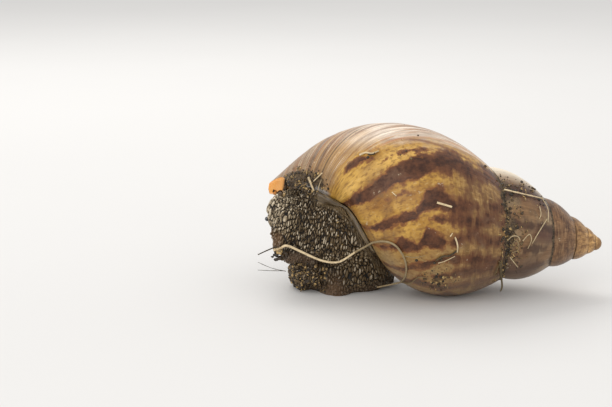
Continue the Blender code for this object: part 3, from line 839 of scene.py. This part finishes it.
# Painted shade: the grooves between the knobs are near black.
colour = knob.shade(0.08, 0.32, (0.004, 0.0026, 0.0016), body)
# Painted highlights: small pale glints on the knob tops, stronger higher up and on the upper left of the
# head. The same glints also set the coat's weight.
glints = (knob + (glint - 0.5) * 1.7).step(0.70, 0.92)
shine = z.step(0.006, 0.017) * 0.32 + beige_and_sheen * 0.20 + 0.26
gap = wire.attribute("shell gap")
shade = (z + x * 0.30).bump_at(-0.0005, 0.0035) * x.step(-0.028, -0.034) * x.step(-0.052, -0.047)
brown = z.step(0.0045, 0.0008) * 0.5 + x.bump_at(-0.0320, 0.0045) * z.step(0.010, 0.002) * 0.9
edge = x.step(-0.0485, -0.0502) * z.step(0.0215, 0.0185)
bare = wire.mix(grain, (0.080, 0.045, 0.024), (0.19, 0.125, 0.078))
colour = colour.coats(
    glints * shine, (0.64, 0.54, 0.39),
    near_shell(gap, x) * 0.95, collar_colour(place, gap),
    shade * 0.55, (0.006, 0.004, 0.0026),
    # Painted shade: the hide darkens low down, near the table.
    z.step(0.009, 0.002) * 0.35, (0.010, 0.007, 0.005),
    brown * (patch * 0.6 + 0.6), (0.13, 0.078, 0.044),
    edge * (patch * 0.6 + 0.4), (0.20, 0.115, 0.060),
    under_root(x, z) * (patch * 0.5 + 0.6), bare)
rough = grain * 0.3 + 0.25
height = knob * 0.75 + grain * 0.12 + glint * 0.2
set_surface(hide_finish, colour, rough, wire.relief(0.7, 0.0006, height),
            Specular_IOR_Level=0.25, Coat_Weight=glints * 0.7, Coat_Roughness=0.08)

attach(hide, "root")
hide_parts(*HIDE_SOLIDS)

# ---------------------------------------------------------------------------
# The mantle: the smooth, wet collar of flesh that fills the mouth of the shell and
# lays down its edge. Only a strip shows, between the hide and the shell.

MANTLE_SQUARES = 0.45 * MM
MANTLE_SIZES = {"Swell": 0.15 * MM, "Wrinkle": 0.25 * MM}
tree, given, start = new_growth("mantle_growth", MANTLE_SIZES)
wave = start.noise(start.own_place(), 420.0, 2.0) - 0.5
shape = start.moved(start.outwards(wave * given["Wrinkle"] - given["Swell"]))
mantle_finish, wire = new_finish("wet_mantle")
end_growth(tree, shape, mantle_finish)
collar = swollen_solids("collar", ("mantle_collar",), SWELL, keep_front=False)
mantle = plain_mesh("mantle", tree, MANTLE_SIZES, melted(collar, MANTLE_SQUARES, 4))
with_shell_gap(mantle.data)

place = wire.object_place()
grain = wire.noise(place, 1500.0, 3.0, 0.6)
colour = collar_colour(place, wire.attribute("shell gap"))
set_surface(mantle_finish, colour, grain * 0.2 + 0.2, wire.relief(0.4, 0.0002, grain),
            Specular_IOR_Level=0.35, Coat_Weight=0.2, Coat_Roughness=0.1)

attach(mantle, "root")
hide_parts("mantle_collar")

# ---------------------------------------------------------------------------
# The eyes: blue-black beads at the tips of the upper feelers. The right feeler is
# a little out; the left one is drawn in, and its eye lies under a lid of skin.

for side in ("right", "left"):
    eye_finish, wire = new_finish("eye_bead_" + side)
    depth = wire.noise(wire.object_place(), 1800.0, 2.0)
    set_surface(eye_finish, wire.mix(depth, (0.004, 0.006, 0.012), (0.012, 0.020, 0.036)),
                depth * 0.1 + 0.05, Coat_Weight=1.0, Coat_Roughness=0.03)
    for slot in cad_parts["eye_" + side].material_slots:
        slot.material = eye_finish

# ---------------------------------------------------------------------------
# Straws and rootlets: dry plant threads that stuck to the wet animal. One long root
# lies across the neck and over the shell, and short straws cling to the whorls.

outside = read_attribute(shell.data, "inner") < 0.5


def shell_route(*stops):
    """Points in mm over the shell, each given by its turn, its place along the whorl and its lift."""
    points = []
    for turn, along, lift in stops:
        apart = (shell_turn - turn) ** 2 * 9 + (shell_along - along) ** 2
        corner = shell.data.vertices[int(np.argmin(np.where(outside, apart, np.inf)))]
        points.append(tuple((corner.co + corner.normal * lift * MM) / MM))
    return points


# Each thread: its radius in mm at both ends, its tint from dark to straw, its route in mm.
THREADS = [
    (0.46, 0.34, 0.95, ((-51.8, -9, 15.6), (-49.9, -7.7, 15.7), (-47.6, -8.7, 17), (-43.4, -8.7, 15.2),
        (-40.1, -9.5, 13.8), (-36.8, -9.9, 12.5), (-33.6, -10.4, 11.9), (-31, -10.6, 12),
        (-28.8, -11.6, 13.3), (-25.6, -12.6, 15.8))),
    (0.38, 0.26, 0.62, ((-25.6, -12.6, 15.8), (-22.3, -14.8, 18.2), (-20.4, -18.2, 20.2),
        (-18.1, -22.8, 21.8), (-15.7, -24.9, 22.1), (-13.6, -26, 21.3), (-12, -26.2, 19.5),
        (-10.7, -25.8, 17.1), (-10, -24.7, 14.6), (-9.8, -22.6, 11.7), (-10.2, -19, 8.7),
        (-10.9, -13.6, 6.1), (-12.6, -10.7, 4.8), (-15.6, -9.9, 3.9), (-18.3, -9.4, 3.2))),
    (0.22, 0.14, 0.5, ((-10.9, -13.6, 6.1), (-8.2, -18.7, 7.2), (-6, -23.1, 10.2), (-3.9, -24, 10.4))),
    (0.12, 0.07, 0.6, ((-10.4, -26, 17.8), (-7.4, -27.2, 17.7), (-4.4, -28.2, 18.6))),
    (0.25, 0.20, 0.9, shell_route((-0.341, 0.019, 0.9), (-1.338, 0.382, 1), (-1.311, 0.131, 0.7))),
    (0.16, 0.12, 0.8, shell_route((-1.311, 0.131, 0.7), (-1.349, 0.095, 0.9), (-1.399, 0.095, 0.3))),
    (0.15, 0.15, 0.75, shell_route((-1.393, 0.131, 1.2), (-1.443, 0.219, 0.6), (-1.483, 0.287, 0.3))),
    (0.36, 0.34, 1.1, shell_route((-0.421, 0.470, 0.4), (-0.425, 0.382, 0.4))),
    (0.20, 0.16, 0.9, shell_route((-0.482, 0.397, 0.3), (-0.474, 0.382, 0.4))),
    (0.28, 0.22, 0.85, shell_route((-0.482, 0.366, 0.4), (-0.497, 0.356, 0.5), (-0.513, 0.351, 0.3))),
    (0.20, 0.14, 0.8, shell_route((-1.536, 0.525, 0.5), (-1.571, 0.427, 0.4))),
    (0.13, 0.12, 0.8, shell_route((-1.483, 0.564, 0.5), (-1.466, 0.511, 1.3), (-1.466, 0.456, 1.1),
        (-1.478, 0.427, 0.3))),
    (0.20, 0.16, 1, shell_route((-0.410, 0.725, 0.3), (-0.414, 0.715, 0.3), (-0.418, 0.704, 0.3))),
    (0.34, 0.24, 0.05, shell_route((-0.537, 0.490, 0.3), (-0.525, 0.435, 0.5), (-0.521, 0.397, 0.5),
        (-0.509, 0.345, 0.2))),
    (0.17, 0.13, 0.8, shell_route((-0.541, 0.470, 0.6), (-0.533, 0.427, 0.9), (-0.519, 0.366, 0.7))),
    (0.34, 0.22, 0.85, shell_route((-0.312, 0.842, 0.3), (-0.312, 0.809, 0.4), (-0.319, 0.783, 0.4),
        (-0.315, 0.745, 0.3))),
    (0.22, 0.14, 0.1, shell_route((-0.318, 0.800, 0.4), (-0.322, 0.770, 0.6), (-0.316, 0.760, 0.3))),
    (0.17, 0.12, 0.75, shell_route((-1.478, 0.400, 0.5), (-1.452, 0.330, 1), (-1.470, 0.300, 0.6),
        (-1.500, 0.330, 0.4))),
    (0.15, 0.10, 0.6, shell_route((-1.520, 0.500, 0.5), (-1.500, 0.440, 1.2), (-1.480, 0.470, 0.8),
        (-1.500, 0.520, 0.4))),
    (0.13, 0.10, 0.8, shell_route((-1.352, 0.180, 0.4), (-1.380, 0.190, 0.6), (-1.400, 0.200, 0.3))),
    (0.40, 0.30, 0.8, ((-40.6, -4.2, 38.7), (-38.9, -6.8, 34.8))),
    (0.18, 0.22, 0.85, ((-38.9, -5.6, 37.7), (-37.6, -6.6, 39.2), (-36.2, -7.2, 40.7))),
    (0.16, 0.12, 0.75, ((-37.5, -6.6, 34.9), (-37.1, -7, 36.8), (-36.4, -7.2, 38.5))),
    (0.46, 0.22, 0.25, ((20.1, -20.8, 14.5), (20.4, -19.3, 12.1), (21.2, -16.4, 8.2), (21.6, -15.2, 4.9),
        (21.2, -14.6, 3.3))),
    (0.16, 0.12, 0.35, ((18.6, -18.6, 9.6), (20.1, -20.9, 14.5), (21.2, -21.1, 16.8))),
    (0.24, 0.17, 0.05, ((-51, -8.2, 16.6), (-54.2, -9, 15.4), (-57, -9.6, 14.2))),
    (0.11, 0.08, 0, ((-47.9, -8.6, 8.4), (-52.5, -9.2, 9.6), (-57, -9.6, 11.7))),
    (0.11, 0.08, 0, ((-48.4, -8.9, 8.6), (-53, -9.3, 8.8), (-57, -9.8, 9.1))),
]
THREAD_SIZES = {"Step": 0.45 * MM, "Sides": 7, "Unevenness": 0.10 * MM}


def thread_mesh(threads):
    """Open chains of points, each with its radius and tint."""
    places, edges, thick, tint = [], [], [], []
    for first, last, shade, route in threads:
        for number, point in enumerate(route):
            if number:
                edges.append((len(places) - 1, len(places)))
            places.append(tuple(value * MM for value in point))
            thick.append(first + (last - first) * number / (len(route) - 1))
            tint.append(shade)
    mesh = bpy.data.meshes.new("threads")
    mesh.from_pydata(places, edges, [])
    add_attribute(mesh, "thick", np.array(thick) * MM)
    add_attribute(mesh, "tint", np.array(tint))
    return mesh


tree, given, start = new_growth("thread_growth", THREAD_SIZES)
route = start.node("GeometryNodeMeshToCurve", None, {0: start})
route = start.node("GeometryNodeCurveSplineType", {"spline_type": "CATMULL_ROM"}, {0: route})
route = start.node("GeometryNodeSetSplineResolution", None, {0: route, "Resolution": 8})
route = start.node("GeometryNodeResampleCurve", {"mode": "LENGTH"}, {0: route, "Length": given["Step"]})
ring = start.node("GeometryNodeCurvePrimitiveCircle", None, {"Resolution": given["Sides"], "Radius": 1.0})
skin = start.node("GeometryNodeCurveToMesh", None, {
    "Curve": route, "Profile Curve": ring, "Scale": start.named("thick"), "Fill Caps": True})
wave = start.noise(start.own_place(), 900.0, 2.0) - 0.5
thread_finish, wire = new_finish("dry_thread")
end_growth(tree, skin.moved(start.outwards(wave * given["Unevenness"])), thread_finish)
threads = plain_mesh("straws_and_roots", tree, THREAD_SIZES, thread_mesh(THREADS))

tint = wire.attribute("tint")
fibres = wire.noise(wire.object_place(), 700.0, 4.0, 0.6)
colour = tint.shade(0.0, 0.5, (0.018, 0.018, 0.012), (0.17, 0.125, 0.06))
colour = colour.coats(
    tint.step(0.45, 1.0), (0.80, 0.64, 0.40),
    fibres.step(0.35, 0.7) * 0.45, (0.20, 0.13, 0.06))
set_surface(thread_finish, colour, fibres * 0.3 + 0.4, wire.relief(0.5, 0.0001, fibres),
            Specular_IOR_Level=0.3)

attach(threads, "root")

# ---------------------------------------------------------------------------
# Soil: crumbs and short curled fibres of compost, caked on the front of the foot, round
# the mouth of the shell, in its seam and low on its belly.

CRUMB_SIZES = {"Number": 3.0e6, "Smallest": 0.10 * MM, "Largest": 0.55 * MM, "Darkest": 0.0, "Seed": 3}
CURL_SIZES = {"Number": 0.80e6, "Smallest": 0.7 * MM, "Largest": 2.6 * MM, "Darkest": 0.45, "Seed": 8,
              "Thickness": 0.06}


def random_number(start, low, high, seed):
    """A number of its own for each grain."""
    return start.node("FunctionNodeRandomValue", {"data_type": "FLOAT"}, {2: low, 3: high, 8: seed}, out=1)


def random_turn(start, seed):
    """A rotation of its own for each grain."""
    return start.node("FunctionNodeRandomValue", {"data_type": "FLOAT_VECTOR"},
                      {0: (0, 0, 0), 1: (math.tau, math.tau, math.tau), 8: seed}, out=0)


def crumb(start, given):
    """A dented pebble of radius 1."""
    grain = start.node("GeometryNodeMeshIcoSphere", None, {"Radius": 1.0, "Subdivisions": 1})
    dent = start.noise(start.own_place(), 1.3, 1.0) - 0.35
    return grain.moved(start.own_place().scaled(dent))


def curl(start, given):
    """A short bowed fibre of length 1."""
    bow = start.node("GeometryNodeCurveQuadraticBezier", None, {
        "Resolution": 7, "Start": (-0.5, 0, 0.05), "Middle": (0.05, 0.35, 0.25), "End": (0.5, 0, 0.0)})
    ring = start.node("GeometryNodeCurvePrimitiveCircle", None,
                      {"Resolution": 5, "Radius": given["Thickness"]})
    return start.node("GeometryNodeCurveToMesh", None,
                      {"Curve": bow, "Profile Curve": ring, "Fill Caps": True})


def strewn(name, grain_of, sizes, sheet, soil):
    """Grains over a copy of a piece's mesh, dense where there is most soil."""
    tree, given, start = new_growth(name + "_growth", sizes)
    points = start.node("GeometryNodeDistributePointsOnFaces", {"distribute_method": "RANDOM"}, {
        "Mesh": start, "Density": start.named("soil") * given["Number"], "Seed": given["Seed"]})
    points = points.keep("tint", random_number(start, given["Darkest"], 1.0, 21))
    size = random_number(start, 0.0, 1.0, 22) ** 2.2 * (given["Largest"] - given["Smallest"])
    grains = start.node("GeometryNodeInstanceOnPoints", None, {
        "Points": points, "Instance": grain_of(start, given), "Rotation": random_turn(start, 23),
        "Scale": size + given["Smallest"]})
    end_growth(tree, grains.real().above_floor(), soil_finish)
    copy = sheet.copy()
    add_attribute(copy, "soil", soil)
    return plain_mesh(name, tree, sizes, copy)


def near_to(values, middle, reach):
    """1 at the middle, falling evenly to 0 at the reach on both sides."""
    return np.clip(1 - np.abs(values - middle) / reach, 0, 1)


soil_finish, wire = new_finish("damp_soil")
tint = wire.attribute("tint")
grit = wire.noise(wire.object_place(), 1600.0, 3.0, 0.6)
colour = tint.shade(0.15, 0.70, (0.014, 0.010, 0.006), (0.115, 0.068, 0.027))
colour = colour.coats(
    tint.step(0.68, 0.90), (0.54, 0.36, 0.14),
    tint.step(1.05, 1.2), (0.72, 0.30, 0.05),
    grit.step(0.40, 0.62) * 0.8, (0.03, 0.02, 0.012))
set_surface(soil_finish, colour, grit * 0.3 + 0.35, wire.relief(0.6, 0.0001, grit))

# Where soil lies on the whorls, by their turn and the place along them.
turn, along = shell_turn, shell_along
margin = near_to(turn, -0.19, 0.14) ** 0.5 * np.clip((along - 0.984) / 0.014, 0, 1)
seam = (turn > -1.0) * near_to(turn, -0.50, 0.20) * np.clip(1 - along / 0.07, 0, 1)
seam_side = near_to(turn, -1.47, 0.15) * near_to(along, 0.56, 0.24)
seam_side = seam_side + near_to(turn, -1.31, 0.05) * (along > 0.08) * 0.4
seam_side = seam_side * (turn > -1.66) * (turn < -1.0)
belly = (turn > -1.0) * near_to(turn, -0.585, 0.06) * near_to(along, 0.47, 0.16)
dusting = 0.0014 * (turn > -2.4)
on_whorls = (margin + seam * 0.9 + seam_side * 0.75 + belly * 0.35 + dusting) * outside

# Where it lies on the hide, in mm: the front lobe of the foot, and below the lip.
corners = np.empty(len(hide.data.vertices) * 3, np.float32)
hide.data.vertices.foreach_get("co", corners)
x, y, z = corners.reshape(-1, 3).T / MM
lobe = near_to(x, -43.5, 9) ** 0.5 * np.clip((11.5 - z) / 3, 0, 1) * (y < 8) * (z > 0.4)
crown = near_to(x, -41, 9) * np.clip((z - 31.5) / 3, 0, 1)
on_flesh = lobe * 1.1 + crown * 0.8 + 0.02 * (z > 0.5)

# Larger crumbs: the clump where the neck meets the lobe of the foot, and bits of food at
# the corner of the lip. Each has its place and radius in mm, and its tint.
CLODS = [
    (-49.9, -8, 14.6, 0.95, 0.88), (-51.2, -8.4, 13.7, 0.8, 0.1), (-50.2, -7.9, 12.8, 0.8, 0.35),
    (-52.2, -8.5, 13.1, 0.55, 0), (-51, -8.2, 12.4, 0.5, 0.3), (-48.8, -7.6, 13.6, 0.7, 0.5),
    (-51.4, -8.1, 14.6, 0.5, 0.2), (-49, -7.5, 12.2, 0.5, 0.75), (-51.9, 10.2, 30.6, 0.9, 1.3),
    (-52.4, 9.8, 31.3, 0.6, 0.1), (-50.9, 9.6, 30, 1, 0.8), (-49.9, 8.8, 30.6, 0.9, 0.3),
    (-51.6, 9.6, 29.2, 0.6, 1.2), (-49.6, -1.3, 32.3, 0.7, 0.55), (-48.6, -1.6, 32.3, 0.6, 0.85),
    (-50.4, -1, 31.6, 0.6, 0.3), (-48.4, 7.6, 32.3, 0.8, 0.15), (-48, 6.2, 33.2, 0.7, 0.6),
    (-48.3, -6.9, 13.7, 0.9, 0.4), (-48.9, -6.8, 12.9, 0.8, 0.2),
]
clods = bpy.data.meshes.new("clods")
clods.from_pydata([tuple(value * MM for value in clod[:3]) for clod in CLODS], [], [])
add_attribute(clods, "thick", np.array([clod[3] * MM for clod in CLODS]))
add_attribute(clods, "tint", np.array([clod[4] for clod in CLODS]))
CLOD_SIZES = {"Facets": 2}
CLOD_DENT_MM = 3.0
tree, given, start = new_growth("clod_growth", CLOD_SIZES)
points = start.node("GeometryNodeMeshToPoints", None, {0: start})
lump = start.node("GeometryNodeMeshIcoSphere", None, {"Radius": 1.0, "Subdivisions": given["Facets"]})
lumps = start.node("GeometryNodeInstanceOnPoints", None, {
    "Points": points, "Instance": lump, "Rotation": random_turn(start, 5), "Scale": start.named("thick")})
dent = start.noise(start.own_place(), 900.0, 3.0, 0.6) - 0.5
end_growth(tree, lumps.real().moved(start.outwards(dent * CLOD_DENT_MM * MM)), soil_finish)
clod_piece = plain_mesh("soil_clods", tree, CLOD_SIZES, clods)

fibres_on_whorls = (margin + seam + seam_side * 1.4 + belly) * outside
fibres_on_flesh = lobe * 0.3 + crown * 0.8
soil_pieces = [clod_piece,
               strewn("soil_on_shell", crumb, CRUMB_SIZES, shell.data, on_whorls),
               strewn("soil_on_skin", crumb, CRUMB_SIZES, hide.data, on_flesh),
               strewn("fibres_on_shell", curl, CURL_SIZES, shell.data, fibres_on_whorls),
               strewn("fibres_on_skin", curl, CURL_SIZES, hide.data, fibres_on_flesh)]
for piece in soil_pieces:
    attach(piece, "root")
